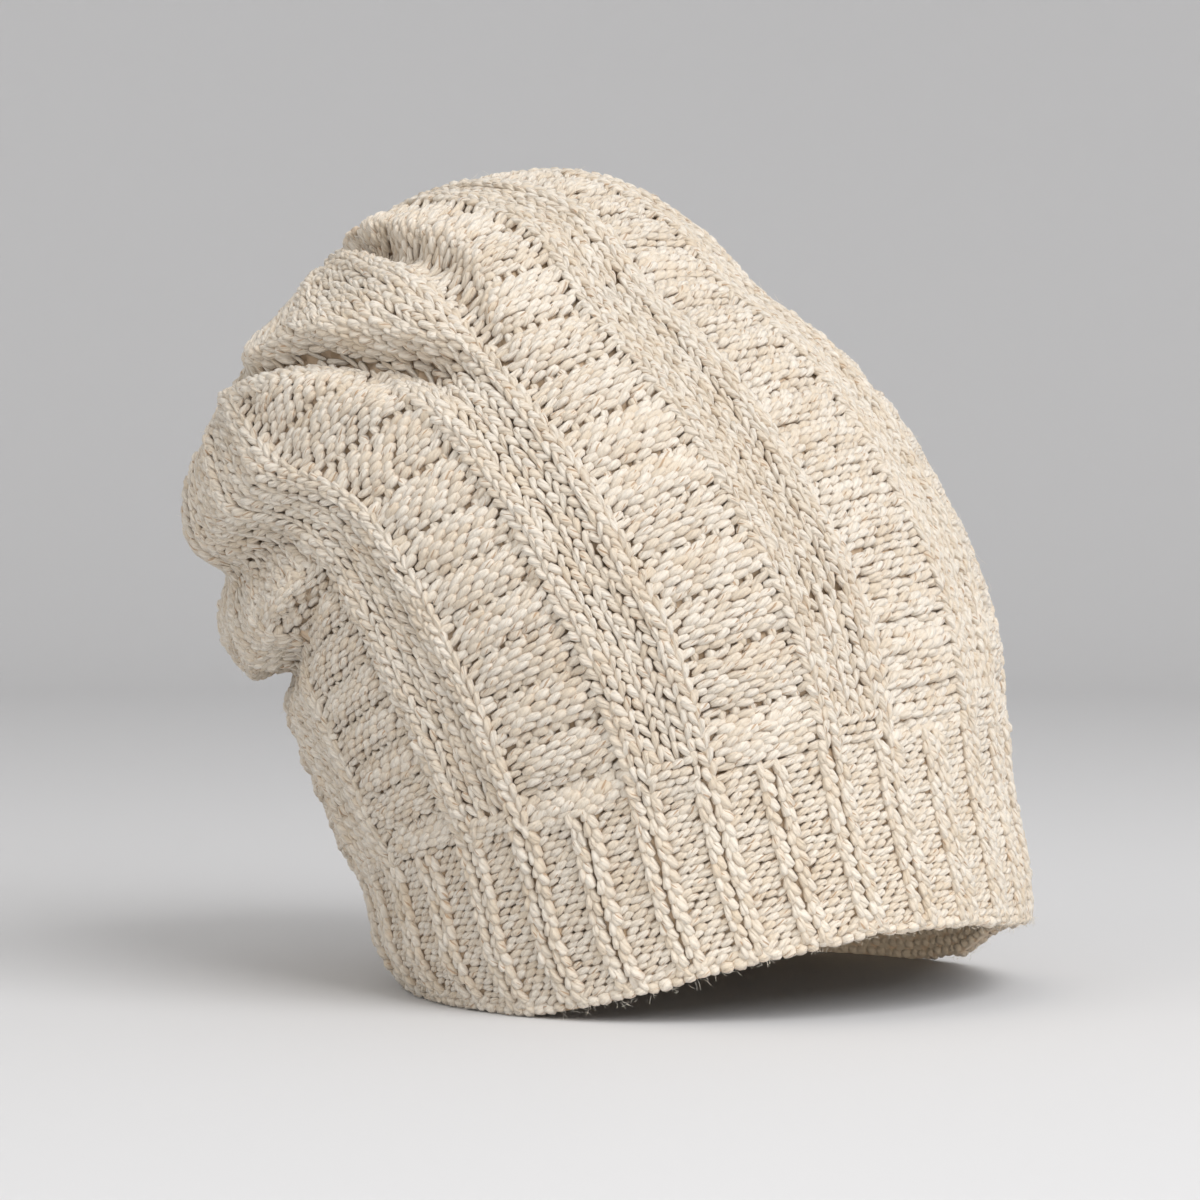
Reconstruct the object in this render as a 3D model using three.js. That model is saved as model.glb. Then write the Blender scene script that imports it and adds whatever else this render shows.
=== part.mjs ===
// A slouchy hand-knitted beanie: a ribbed brim and a hollow, welted crown that has flopped over.
// Millimetres, +Z up, +X towards the wearer's forehead, -Y towards the viewer.
// Every point of the fabric is named by its stitch: a wale (0 to 165, counted round the head from
// the viewer's side towards +X) and a row (0 at the cast-on edge, 76 at the very top).
import * as THREE from 'three';

// Gauge
const PANELS = 11;
const REPEAT_WALES = 15; // one raised band and one welted panel
const WALES = PANELS * REPEAT_WALES;
const RIB_WALES = 5; // knit 2, purl 3
const BRIM_ROWS = 16;
const TOP_ROW = 76;
const WELT_ROWS = 3.7;
const FIRST_VALLEY = 17.8; // row of the lowest groove between two welts
const FIRST_WELT_TOP = 16.8;
const WELT_COUNT = 13; // whole welts above that groove

// Fabric
const WALL = 5.2; // from the tops of the ribs to the inside
const RIB_HEIGHT = 2.8;
const BAND_HOLLOW = 0.9; // the three middle wales of a band, below its two cords
const BAND_HALF_WALES = 3.4;
const GROOVE = 2.8; // bottom of a welt's groove, below the cords
const WELT_HEIGHT = 1.9;
const SLIT_ROWS = 0.06; // half of the slit between brim and crown, in rows
const BODY_CENTRE = { x: -26.83, y: 7.17 }; // the middle of the whole hat, from the middle of the rim

// Cross sections: ellipses that lean over by `lean` degrees towards `azimuth`; `twist` turns the
// wales along them. Places are measured from the middle of the rim.
const SECTIONS = [
  { row: 0, x: 5, y: 0, z: 0, lean: 0, azimuth: 152, halfWidth: 90.5, halfDepth: 84,
    twist: 0 },
  { row: 5, x: 0.5, y: 0.2, z: 17, lean: 4, azimuth: 152, halfWidth: 93.5, halfDepth: 85.5,
    twist: -0.8 },
  { row: 10, x: -2.5, y: 0, z: 34.5, lean: 9, azimuth: 152, halfWidth: 93.5, halfDepth: 87,
    twist: -1.4 },
  { row: 16, x: -4.8, y: 0, z: 53.1, lean: 16, azimuth: 153, halfWidth: 96, halfDepth: 88.9,
    twist: -2 },
  { row: 20, x: -8.3, y: 0.5, z: 67.5, lean: 19.5, azimuth: 153, halfWidth: 99.5, halfDepth: 92,
    twist: -2.3 },
  { row: 25, x: -13.6, y: 2.4, z: 84.7, lean: 23.8, azimuth: 154, halfWidth: 100.9, halfDepth: 95.6,
    twist: -2.7 },
  { row: 31, x: -22.2, y: 5.8, z: 102.6, lean: 26.7, azimuth: 155, halfWidth: 100.6, halfDepth: 98.4,
    twist: -3.1 },
  { row: 37, x: -30.6, y: 9.5, z: 119.5, lean: 27.3, azimuth: 154, halfWidth: 99.5, halfDepth: 98.6,
    twist: -3.8 },
  { row: 43, x: -43, y: 13, z: 133.9, lean: 31.7, azimuth: 150, halfWidth: 98, halfDepth: 95.7,
    twist: -3.5 },
  { row: 49, x: -58, y: 16.4, z: 150.3, lean: 33, azimuth: 144, halfWidth: 93.3, halfDepth: 88.5,
    twist: -2.6 },
  { row: 55, x: -71, y: 19.9, z: 171.4, lean: 35.8, azimuth: 142, halfWidth: 87, halfDepth: 78.1,
    twist: -1.1 },
  { row: 61, x: -84, y: 24, z: 186.9, lean: 41.8, azimuth: 150, halfWidth: 73.8, halfDepth: 63.3,
    twist: -1.2 },
  { row: 66, x: -93.2, y: 27.4, z: 193.3, lean: 48, azimuth: 149, halfWidth: 54.1, halfDepth: 49.2,
    twist: -0.9 },
  { row: 70, x: -99.6, y: 30.3, z: 194.7, lean: 53.7, azimuth: 151, halfWidth: 37.8, halfDepth: 36.5,
    twist: -0.6 },
  { row: 73, x: -104.6, y: 32.5, z: 195, lean: 58.5, azimuth: 151, halfWidth: 25.6, halfDepth: 26.9,
    twist: -0.2 },
  { row: 76, x: -109.6, y: 34.8, z: 194.8, lean: 63.7, azimuth: 152, halfWidth: 2, halfDepth: 2,
    twist: 0.2 },
];

// The rim's height over the surface by angle from +X: it arches up at the front.
const RIM_LIFT = [
  { angle: -180, lift: 0 },
  { angle: -127, lift: 0 },
  { angle: -118, lift: 2.7 },
  { angle: -101, lift: 9.4 },
  { angle: -91, lift: 14.3 },
  { angle: -79, lift: 18.8 },
  { angle: -63, lift: 23.3 },
  { angle: -47, lift: 24.3 },
  { angle: -25, lift: 21.8 },
  { angle: 0, lift: 19.2 },
  { angle: 19, lift: 12.5 },
  { angle: 31, lift: 3.5 },
  { angle: 45, lift: 0 },
  { angle: 180, lift: 0 },
];

// How many rows higher the welts of some panels sit. Panel 0 starts at wale 0.
const WELT_SHIFTS = [
  { panel: 0, shift: 1.4 },
  { panel: 1, shift: -0.4 },
  { panel: 8, shift: 0.6 },
  { panel: 9, shift: 1.1 },
];

// Where the slump drags the stitches sideways, in wales, round a middle stitch.
const DRIFTS = [
  { name: 'corner of the second band', wale: -17, row: 57, shift: -8, wales: 11, rows: 10 },
  { name: 'middle band spreading', wale: -4, row: 61, shift: -5, wales: 9, rows: 8 },
];

// Folds: creases from stitch to stitch, bowed by `bow` stitches, `depth` deep at their start and
// end. The fabric on their left-hand side is rolled up by `roll` and hangs over by `over` stitches;
// on the other side it rises by `sill`.
const FOLDS = [
  { name: 'shoulder', wale: 1, row: 67, toWale: 3.3, toRow: 50, bow: 1, depth: 11, toDepth: 2,
    width: 1.8, roll: 2.5, sill: 0, over: 1 },
  { name: 'big lobe', wale: -18.5, row: 61.2, toWale: -3.2, toRow: 50.8, bow: -0.5, depth: 5, toDepth: 12,
    width: 1.7, roll: 3, sill: 2.5, over: 1.6 },
  { name: 'side notch', wale: -46, row: 54, toWale: -22, toRow: 46.5, bow: -1.5, depth: 8, toDepth: 6,
    width: 2.1, roll: 2, sill: 2, over: 0.8 },
  { name: 'under lobe', wale: -46, row: 44, toWale: -20.3, toRow: 42, bow: -5, depth: 12, toDepth: 4,
    width: 1.8, roll: 1.2, sill: 0, over: 0.2 },
  { name: 'back shoulder', wale: 40, row: 66, toWale: 48, toRow: 52, bow: 1, depth: 7, toDepth: 3,
    width: 2.6, roll: 2, sill: 0, over: 0 },
  { name: 'back slump', wale: -70, row: 34, toWale: -56, toRow: 52, bow: 1, depth: 2, toDepth: 7,
    width: 2.6, roll: 2, sill: 0, over: 0 },
];
const FOLD_FADE = 4; // stitches over which a fold runs out past its ends

const sum = (terms) => terms.reduce((total, term) => total + term, 0);
const bell = (distance, width) => Math.exp(-((distance / width) ** 2));
const radians = THREE.MathUtils.degToRad;
const smoothstep = THREE.MathUtils.smoothstep;

// A smooth curve through one column of a table.
function along(table, key, column, at) {
  const last = table.length - 1;
  let i = 0;
  while (i < last - 1 && at >= table[i + 1][key]) i += 1;
  const chord = (k) => (table[k + 1][column] - table[k][column]) / (table[k + 1][key] - table[k][key]);
  const slope = (k) => {
    if (k === 0) return chord(0);
    if (k === last) return chord(last - 1);
    const before = table[k][key] - table[k - 1][key];
    const after = table[k + 1][key] - table[k][key];
    return (chord(k - 1) * after + chord(k) * before) / (before + after);
  };
  const span = table[i + 1][key] - table[i][key];
  const t = (at - table[i][key]) / span;
  return (2 * t ** 3 - 3 * t ** 2 + 1) * table[i][column]
    + (t ** 3 - 2 * t ** 2 + t) * span * slope(i)
    + (3 * t ** 2 - 2 * t ** 3) * table[i + 1][column]
    + (t ** 3 - t ** 2) * span * slope(i + 1);
}

// A straight-line reading of a table.
function between(table, key, column, at) {
  let i = 0;
  while (i < table.length - 2 && at >= table[i + 1][key]) i += 1;
  const t = (at - table[i][key]) / (table[i + 1][key] - table[i][key]);
  return THREE.MathUtils.lerp(table[i][column], table[i + 1][column], THREE.MathUtils.clamp(t, 0, 1));
}

// The angle from +X of a wale, with the wales spaced evenly along the rim's ellipse.
const RIM_STEPS = 720;
const rimLength = (() => {
  const { halfWidth, halfDepth } = SECTIONS[0];
  const lengths = [0];
  for (let i = 1; i <= RIM_STEPS; i += 1) {
    const angle = ((i - 0.5) / RIM_STEPS) * 2 * Math.PI - Math.PI / 2;
    lengths.push(lengths[i - 1] + Math.hypot(halfWidth * Math.sin(angle), halfDepth * Math.cos(angle)));
  }
  return lengths.map((length) => length / lengths[RIM_STEPS]);
})();
function angleOf(wale) {
  const turns = wale / WALES;
  const part = turns - Math.floor(turns);
  let low = 0;
  let high = RIM_STEPS;
  while (high - low > 1) {
    const middle = (low + high) >> 1;
    if (rimLength[middle] <= part) low = middle;
    else high = middle;
  }
  const t = (part - rimLength[low]) / (rimLength[high] - rimLength[low]);
  return ((low + t) / RIM_STEPS) * 2 * Math.PI - Math.PI / 2;
}

// Shortest way round from one wale to another.
const wrap = (wales) => wales - WALES * Math.round(wales / WALES);

// The unfolded form at a wale and row, with the lean's frame.
function unfolded(wale, row) {
  const section = {};
  for (const column of ['x', 'y', 'z', 'lean', 'azimuth', 'halfWidth', 'halfDepth', 'twist']) {
    section[column] = along(SECTIONS, 'row', column, row);
  }
  const rimAngle = angleOf(wale);
  const angle = rimAngle + radians(section.twist);
  const lean = radians(section.lean);
  const toward = [Math.cos(radians(section.azimuth)), Math.sin(radians(section.azimuth))];
  const flat = [section.halfWidth * Math.cos(angle), section.halfDepth * Math.sin(angle)];
  const reach = flat[0] * toward[0] + flat[1] * toward[1];
  const degrees = THREE.MathUtils.euclideanModulo(THREE.MathUtils.radToDeg(rimAngle) + 180, 360) - 180;
  const lift = between(RIM_LIFT, 'angle', 'lift', degrees) * Math.max(0, 1 - row / BRIM_ROWS);
  return new THREE.Vector3(
    section.x + flat[0] - reach * toward[0] * (1 - Math.cos(lean)),
    section.y + flat[1] - reach * toward[1] * (1 - Math.cos(lean)),
    section.z - reach * Math.sin(lean) + lift,
  );
}

function normalOf(form, wale, row) {
  const step = 0.2;
  const low = Math.max(row - step, 0);
  const high = Math.min(row + step, TOP_ROW);
  const round = form(wale + step, row).sub(form(wale - step, row));
  const up = form(wale, high).sub(form(wale, low));
  return round.cross(up).normalize();
}

// How far a stitch lies along and across a fold's line, in stitches.
function foldPlace(fold, wale, row) {
  const run = [wrap(fold.toWale - fold.wale), fold.toRow - fold.row];
  const length = Math.hypot(...run);
  const [east, north] = run.map((part) => part / length);
  const offset = [wrap(wale - fold.wale), row - fold.row];
  const onLine = offset[0] * east + offset[1] * north;
  const t = THREE.MathUtils.clamp(onLine / length, 0, 1);
  const across = offset[1] * east - offset[0] * north - 4 * fold.bow * t * (1 - t);
  const past = Math.max(-onLine, onLine - length, 0);
  const strength = bell(past, FOLD_FADE);
  return { t, across, strength, aside: [-north, east] };
}

// The folded reference surface: the tops of the ribs and cords.
function folded(wale, row, overhang) {
  let sideways = sum(DRIFTS.map((drift) => drift.shift * bell(wrap(wale - drift.wale), drift.wales)
    * bell((row - drift.row) ** 2, drift.rows ** 2)));
  let upwards = 0;
  let height = 0;
  for (const fold of FOLDS) {
    const place = foldPlace(fold, wale + sideways, row);
    const depth = THREE.MathUtils.lerp(fold.depth, fold.toDepth, place.t);
    const onRoll = bell(place.across - 1.8 * fold.width, 1.5 * fold.width) * place.strength;
    const onSill = bell(place.across + 2 * fold.width, 1.2 * fold.width) * place.strength;
    const onCrease = bell(place.across, fold.width) * place.strength;
    height += fold.roll * onRoll + fold.sill * onSill - depth * onCrease;
    if (overhang) {
      sideways -= fold.over * onRoll * place.aside[0];
      upwards -= fold.over * onRoll * place.aside[1];
    }
  }
  const fade = smoothstep(TOP_ROW - row, 0, 8);
  const place = [wale + sideways * fade, THREE.MathUtils.clamp(row + upwards * fade, 0, TOP_ROW)];
  const point = unfolded(...place);
  if (Math.abs(height) < 1e-4) return point;
  return point.addScaledVector(normalOf(unfolded, ...place), height * fade);
}
const outerForm = (wale, row) => folded(wale, row, true);
const innerForm = (wale, row) => folded(wale, row, false);

// Offset from the reference surface along its normal. The cast-on edge moves only sideways, so
// that it stays level where it rests.
function offsetPoint(form, wale, row, offset) {
  const normal = normalOf(form, wale, row);
  if (row === 0) normal.setZ(0).normalize();
  const point = form(wale, row).addScaledVector(normal, offset);
  return point.setZ(Math.max(point.z, 0));
}

// Relief of the brim: two knit wales proud, three purl wales sunk.
function brimRelief(wale) {
  const fromRib = Math.abs(THREE.MathUtils.euclideanModulo(wale, RIB_WALES) - RIB_WALES / 2);
  return -RIB_HEIGHT * smoothstep(fromRib, 1, 1.9);
}

// How many rows higher the welts sit at a wale; a band blends its two panels.
function weltShift(wale) {
  const shiftOf = (panel) => WELT_SHIFTS.find((entry) => entry.panel === panel)?.shift ?? 0;
  const place = THREE.MathUtils.euclideanModulo(wale, WALES) / REPEAT_WALES + 0.5;
  const right = Math.floor(place) % PANELS;
  const left = (right + PANELS - 1) % PANELS;
  const share = smoothstep((place % 1) * REPEAT_WALES, REPEAT_WALES / 2 - 3, REPEAT_WALES / 2 + 3);
  return THREE.MathUtils.lerp(shiftOf(left), shiftOf(right), share);
}

// Relief of the crown: bands with a cord along each edge, and welted panels between them.
function crownRelief(wale, row) {
  const fromBand = Math.abs(wale - REPEAT_WALES * Math.round(wale / REPEAT_WALES));
  if (fromBand <= BAND_HALF_WALES) return -BAND_HOLLOW * (1 - smoothstep(fromBand, 0.5, 2.2));
  const fromValley = (row - FIRST_VALLEY - weltShift(wale)) / WELT_ROWS;
  const welt = Math.sqrt(Math.abs(Math.sin(Math.PI * fromValley)));
  const middle = smoothstep(fromBand, BAND_HALF_WALES, BAND_HALF_WALES + 1.5);
  return -GROOVE + WELT_HEIGHT * welt * middle;
}

// A closed ring of points, with each one's wale kept for joining it to the next ring.
function ring(form, wales, row, offsetAt) {
  return wales.map((wale) => ({ wale, point: offsetPoint(form, wale, row, offsetAt(wale, row)) }));
}

// Joins rings in turn with triangles; a ring of one point closes a pole.
function solidFromRings(rings, closed) {
  const positions = [];
  const first = [];
  for (const points of rings) {
    first.push(positions.length / 3);
    for (const { point } of points) positions.push(point.x, point.y, point.z);
  }
  const faces = [];
  const joinRings = (a, b) => {
    const [lower, upper] = [rings[a], rings[b]];
    let [i, j] = [0, 0];
    const count = [lower.length > 1 ? lower.length : 0, upper.length > 1 ? upper.length : 0];
    const waleAt = (points, k) => points[k % points.length].wale + (k >= points.length ? WALES : 0);
    while (i < count[0] || j < count[1]) {
      const low = first[a] + (i % lower.length);
      const high = first[b] + (j % upper.length);
      const lowNext = i < count[0] ? waleAt(lower, i + 1) + waleAt(lower, i) : Infinity;
      const highNext = j < count[1] ? waleAt(upper, j + 1) + waleAt(upper, j) : Infinity;
      if (lowNext <= highNext) {
        i += 1;
        faces.push(low, first[a] + (i % lower.length), high);
      } else {
        j += 1;
        faces.push(low, first[b] + (j % upper.length), high);
      }
    }
  };
  for (let k = 0; k + 1 < rings.length; k += 1) joinRings(k, k + 1);
  if (closed) joinRings(rings.length - 1, 0);
  const geometry = new THREE.BufferGeometry();
  geometry.setAttribute('position', new THREE.Float32BufferAttribute(positions, 3));
  geometry.setIndex(faces);
  geometry.computeVertexNormals();
  return geometry;
}

// Wales at the given places in each repeat, all the way round, in order.
function walesRound(repeat, places) {
  const wales = [];
  for (let start = 0; start < WALES; start += repeat) wales.push(...places.map((place) => start + place));
  return wales;
}
const rowsBetween = (from, to, steps) =>
  Array.from({ length: steps + 1 }, (_, i) => THREE.MathUtils.lerp(from, to, i / steps));

function brimGeometry() {
  const outer = walesRound(RIB_WALES, [0.6, 1.5, 3.5, 4.4]);
  const inner = walesRound(RIB_WALES, [0, 2.5]);
  const top = BRIM_ROWS - SLIT_ROWS;
  const outerRings = rowsBetween(0, top, 5).map((row) => ring(outerForm, outer, row, brimRelief));
  const innerRings = rowsBetween(top, 0, 4).map((row) => ring(innerForm, inner, row, () => -WALL));
  return solidFromRings([...outerRings, ...innerRings], true);
}

function crownGeometry() {
  const outer = walesRound(REPEAT_WALES, [0, 2.2, 3.2, 4.3, 7.5, 10.7, 11.8, 12.8]);
  const sparse = walesRound(REPEAT_WALES, [0, 3.2, 7.5, 11.8]);
  const inner = walesRound(REPEAT_WALES, [0, 3.2, 7.5, 11.8]);
  const bottom = BRIM_ROWS + SLIT_ROWS;
  const lastValley = FIRST_VALLEY + WELT_COUNT * WELT_ROWS;
  const weltRows = rowsBetween(FIRST_VALLEY, lastValley, WELT_COUNT * 3);
  const outerRings = [bottom, FIRST_WELT_TOP, ...weltRows].map((row) =>
    outer.map((wale) => {
      const shifted = row + weltShift(wale) * smoothstep(row, bottom, FIRST_VALLEY);
      return { wale, point: offsetPoint(outerForm, wale, shifted, crownRelief(wale, shifted)) };
    }));
  const pole = (form, offset) => [{ wale: 0, point: offsetPoint(form, 0, TOP_ROW, offset) }];
  const capRings = [70, 72, 74].map((row) => ring(outerForm, sparse, row, crownRelief));
  const innerRows = [...rowsBetween(bottom, 70, 18), 73].reverse();
  const innerRings = innerRows.map((row) => ring(innerForm, inner, row, () => -WALL));
  return solidFromRings(
    [...outerRings, ...capRings, pole(outerForm, -GROOVE), pole(innerForm, -WALL - 1), ...innerRings],
    true,
  );
}

const yarn = { color: 0xe4d9c6, roughness: 0.9, metalness: 0 };
const hat = new THREE.Group();
for (const [name, geometry] of [['brim', brimGeometry()], ['crown', crownGeometry()]]) {
  const mesh = new THREE.Mesh(geometry, new THREE.MeshStandardMaterial(yarn));
  mesh.name = name;
  mesh.position.set(-BODY_CENTRE.x, -BODY_CENTRE.y, 0);
  hat.add(mesh);
}

export default hat;
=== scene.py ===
import math

import bpy
import numpy as np
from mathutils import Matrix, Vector


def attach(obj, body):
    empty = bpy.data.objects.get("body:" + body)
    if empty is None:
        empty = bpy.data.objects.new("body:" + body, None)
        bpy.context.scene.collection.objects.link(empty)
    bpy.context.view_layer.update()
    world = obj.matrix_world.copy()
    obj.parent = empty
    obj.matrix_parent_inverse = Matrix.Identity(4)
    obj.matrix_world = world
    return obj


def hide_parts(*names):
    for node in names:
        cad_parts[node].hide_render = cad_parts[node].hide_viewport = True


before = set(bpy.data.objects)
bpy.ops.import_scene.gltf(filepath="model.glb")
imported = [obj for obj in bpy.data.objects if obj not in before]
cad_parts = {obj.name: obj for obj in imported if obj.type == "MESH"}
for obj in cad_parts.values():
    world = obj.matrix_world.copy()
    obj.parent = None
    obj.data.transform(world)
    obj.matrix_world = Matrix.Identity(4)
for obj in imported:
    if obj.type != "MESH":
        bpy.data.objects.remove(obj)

# A slouchy hand-knitted beanie, built stitch by stitch.
# Lengths of the form and the yarn are in millimetres and become metres where a mesh is made.
# Every point of the fabric is named by its stitch: a wale (0 to 165, counted round the hat from
# the -Y side towards +X) and a row (0 at the cast-on edge, 76 at the very top).

MM = 0.001
SEED = 20

# Gauge: counts of wales and rows
PANELS = 11
REPEAT_WALES = 15
WALES = PANELS * REPEAT_WALES
RIB_WALES = 5
BRIM_ROWS = 16
TOP_ROW = 76
BAND_HALF_WALES = 3.5
FIRST_VALLEY = 17.8
WELT_ROWS = 3.7
SLIT_ROWS = 0.06

# Pitch of the stitches, across in a column and up in a row or line
KNIT_COLUMN = 3.85
KNIT_ROW = 3.75
PLAIN_COLUMN = 4.4
PLAIN_ROW = 4.1
RIB_COLUMN = 1.26
RIB_ROW = 3.8
WELT_LEAF = 4.1
WELT_LINE = 2.1
CLOSE_LINE = 2.35
PURL_LINE = 1.95

# Relief of the fabric, measured down from the tops of the ribs and cords
WALL = 5.2
RIB_HEIGHT = 2.3
RIB_DIP = 0.25
RIB_EDGE = (1.2, 1.7)
EDGE_DEPTH = 1.0
EDGE_ROWS = (0.3, 1.4)
CROWN_BLEND = 0.8
BAND_HOLLOW = 1.4
HOLLOW_EDGE = (0.9, 2.2)
HOLLOW_START = (1, 4)
CORD_FROM = 2.5
CORD_HALF = 0.95
CORD_DIP = 0.45
PANEL_EDGE = (-0.25, 0.35)
GROOVE = 3.2
WELT_HEIGHT = 2.6
WELT_ROUNDNESS = 0.65
WELT_END = 0.4
WELT_END_WALES = 1.4
PLAIN_DEPTH = 1.1
PLAIN_BLEND = 0.8

# The bed under the stitches, and the inner face
BED_DEPTH = 1.8
BED_LOWEST = 4.3
KNIT_BED = 0.8
KNIT_EDGE = (3, 4)
KNIT_START = 3
INNER_BED = 0.5
INNER_BUMP = 0.7
INNER_STITCHES = 0.3

BODY_CENTRE = (-26.83, 7.17)
RIM_SAMPLES = 2881


def table(columns, rows):
    """A short table as one array per named column."""
    values = np.array(rows, float)
    return {name: values[:, i] for i, name in enumerate(columns.split())}


def records(columns, rows):
    """A short table as one named record per row."""
    return [dict(zip(columns.split(), row)) for row in rows]


# Cross sections: ellipses that lean over by `lean` degrees towards `azimuth`; `twist` turns the
# wales along them. Places are measured from the middle of the rim.
SECTIONS = table("row x y z lean azimuth half_width half_depth twist", [
    (0, 5, 0, 0, 0, 152, 90.5, 84, 0),
    (5, 0.5, 0.2, 17, 4, 152, 93.5, 85.5, -0.8),
    (10, -2.5, 0, 34.5, 9, 152, 93.5, 87, -1.4),
    (16, -4.8, 0, 53.1, 16, 153, 96, 88.9, -2),
    (20, -8.3, 0.5, 67.5, 19.5, 153, 99.5, 92, -2.3),
    (25, -13.6, 2.4, 84.7, 23.8, 154, 100.9, 95.6, -2.7),
    (31, -22.2, 5.8, 102.6, 26.7, 155, 100.6, 98.4, -3.1),
    (37, -30.6, 9.5, 119.5, 27.3, 154, 99.5, 98.6, -3.8),
    (43, -43, 13, 133.9, 31.7, 150, 98, 95.7, -3.5),
    (49, -58, 16.4, 150.3, 33, 144, 93.3, 88.5, -2.6),
    (55, -71, 19.9, 171.4, 35.8, 142, 87, 78.1, -1.1),
    (61, -84, 24, 186.9, 41.8, 150, 73.8, 63.3, -1.2),
    (66, -93.2, 27.4, 193.3, 48, 149, 54.1, 49.2, -0.9),
    (70, -99.6, 30.3, 194.7, 53.7, 151, 37.8, 36.5, -0.6),
    (73, -104.6, 32.5, 195, 58.5, 151, 25.6, 26.9, -0.2),
    (76, -109.6, 34.8, 194.8, 63.7, 152, 2, 2, 0.2),
])

# The rim's height over the surface by angle from +X: it arches up at the front.
RIM_LIFT = table("angle lift", [
    (-180, 0), (-127, 0), (-118, 2.7), (-101, 9.4), (-91, 14.3), (-79, 18.8), (-63, 23.3),
    (-47, 24.3), (-25, 21.8), (0, 19.2), (19, 12.5), (31, 3.5), (45, 0), (180, 0),
])

# The welts of each panel, from wale 0 on: how many rows higher than FIRST_VALLEY they sit, and
# whether upright knobs fill the grooves between them.
WELTS = table("shift knobs", [
    (1.4, 1), (0, 0), (0, 1), (0, 1), (0, 1), (0, 1), (0, 1), (0, 1), (0.6, 1), (1.1, 1), (0, 1),
])

# Rows of the grooves of the panel without knobs: narrow welts low down, even ones higher up.
CLOSE_GROOVES = np.array([
    12.7, 14.4, 16.1, 17.8, 19.5, 21.4, 23.5, 26.2, 29, *np.arange(31.6, 80, 2.6),
])

# The row above which the panels turn to plain knitting, over the large folds at the front.
PLAIN_FROM = table("wale row", [
    (-82, 90), (-60, 62), (-50, 48), (-26, 43.5), (-18, 43.5), (-12, 55.8), (-3.4, 51.8),
    (-3, 90), (82, 90),
])

# Where the slump drags the stitches sideways, in wales, round a middle stitch, and how far about.
DRIFTS = records("wale row shift wales rows", [
    (-17, 57, -8, 11, 10),
    (-4, 61, -5, 9, 8),
])

# Folds: creases from stitch to stitch. The fabric on their left-hand side is rolled up by `roll`
# and hangs over by `over` stitches; on the other side it rises by `sill`.
FOLDS = records("wale row to_wale to_row bow depth to_depth width roll sill over", [
    (1, 67, 3.3, 50, 1, 11, 2, 1.8, 2.5, 0, 1),
    (-18.5, 61.2, -3.2, 50.8, -0.5, 5, 12, 1.7, 3, 2.5, 1.6),
    (-46, 54, -22, 46.5, -1.5, 8, 6, 2.1, 2, 2, 0.8),
    (-46, 44, -20.3, 42, -5, 12, 4, 1.8, 1.2, 0, 0.2),
    (40, 66, 48, 52, 1, 7, 3, 2.6, 2, 0, 0),
    (-70, 34, -56, 52, 1, 2, 7, 2.6, 2, 0, 0),
])

# Roll and sill in shares of their crease's width: how far their middle lies from it, and how wide
# they are. Then how many rows a fold fades over past its ends, and all folds below the top.
ROLL_OFF = 1.8
ROLL_WIDTH = 1.5
SILL_OFF = 2
SILL_WIDTH = 1.2
FOLD_FADE = 4
TOP_FADE = 8


def smoothstep(x, low, high):
    t = np.clip((x - low) / (high - low), 0, 1)
    return t * t * (3 - 2 * t)


def bell(distance, width):
    return np.exp(-(distance / width) ** 2)


def wrap(wales):
    return wales - WALES * np.round(wales / WALES)


def along(column, row):
    """A smooth curve through one column of the sections."""
    keys, values = SECTIONS["row"], SECTIONS[column]
    spans = np.diff(keys)
    chords = np.diff(values) / spans
    slopes = np.empty(len(keys))
    slopes[0], slopes[-1] = chords[0], chords[-1]
    slopes[1:-1] = (chords[:-1] * spans[1:] + chords[1:] * spans[:-1]) / (spans[1:] + spans[:-1])
    i = np.clip(np.searchsorted(keys, row, side="right") - 1, 0, len(keys) - 2)
    t = (row - keys[i]) / spans[i]
    return ((2 * t**3 - 3 * t**2 + 1) * values[i]
            + (t**3 - 2 * t**2 + t) * spans[i] * slopes[i]
            + (3 * t**2 - 2 * t**3) * values[i + 1]
            + (t**3 - t**2) * spans[i] * slopes[i + 1])


def rim_shares():
    """Angles round the rim's ellipse, and the share of its length up to each."""
    angles = np.linspace(-math.pi / 2, 1.5 * math.pi, RIM_SAMPLES)
    middle = (angles[1:] + angles[:-1]) / 2
    half_width, half_depth = SECTIONS["half_width"][0], SECTIONS["half_depth"][0]
    steps = np.hypot(half_width * np.sin(middle), half_depth * np.cos(middle))
    shares = np.concatenate([[0], np.cumsum(steps)])
    return shares / shares[-1], angles


RIM_SHARES, RIM_ANGLES = rim_shares()


def angle_of(wale):
    turns = wale / WALES
    return np.interp(turns - np.floor(turns), RIM_SHARES, RIM_ANGLES)


def unfolded(wale, row):
    """The form without its folds."""
    rim_angle = angle_of(wale)
    angle = rim_angle + np.radians(along("twist", row))
    lean = np.radians(along("lean", row))
    azimuth = np.radians(along("azimuth", row))
    toward_x, toward_y = np.cos(azimuth), np.sin(azimuth)
    flat_x = along("half_width", row) * np.cos(angle)
    flat_y = along("half_depth", row) * np.sin(angle)
    reach = flat_x * toward_x + flat_y * toward_y
    degrees = np.mod(np.degrees(rim_angle) + 180, 360) - 180
    lift = np.interp(degrees, RIM_LIFT["angle"], RIM_LIFT["lift"])
    return np.stack([
        along("x", row) + flat_x - reach * toward_x * (1 - np.cos(lean)),
        along("y", row) + flat_y - reach * toward_y * (1 - np.cos(lean)),
        along("z", row) - reach * np.sin(lean) + lift * np.clip(1 - row / BRIM_ROWS, 0, None),
    ], -1)


def normal_of(form, wale, row, step=0.2):
    low, high = np.maximum(row - step, 0), np.minimum(row + step, TOP_ROW)
    normal = np.cross(form(wale + step, row) - form(wale - step, row), form(wale, high) - form(wale, low))
    return normal / (np.linalg.norm(normal, axis=-1, keepdims=True) + 1e-12)


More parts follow.
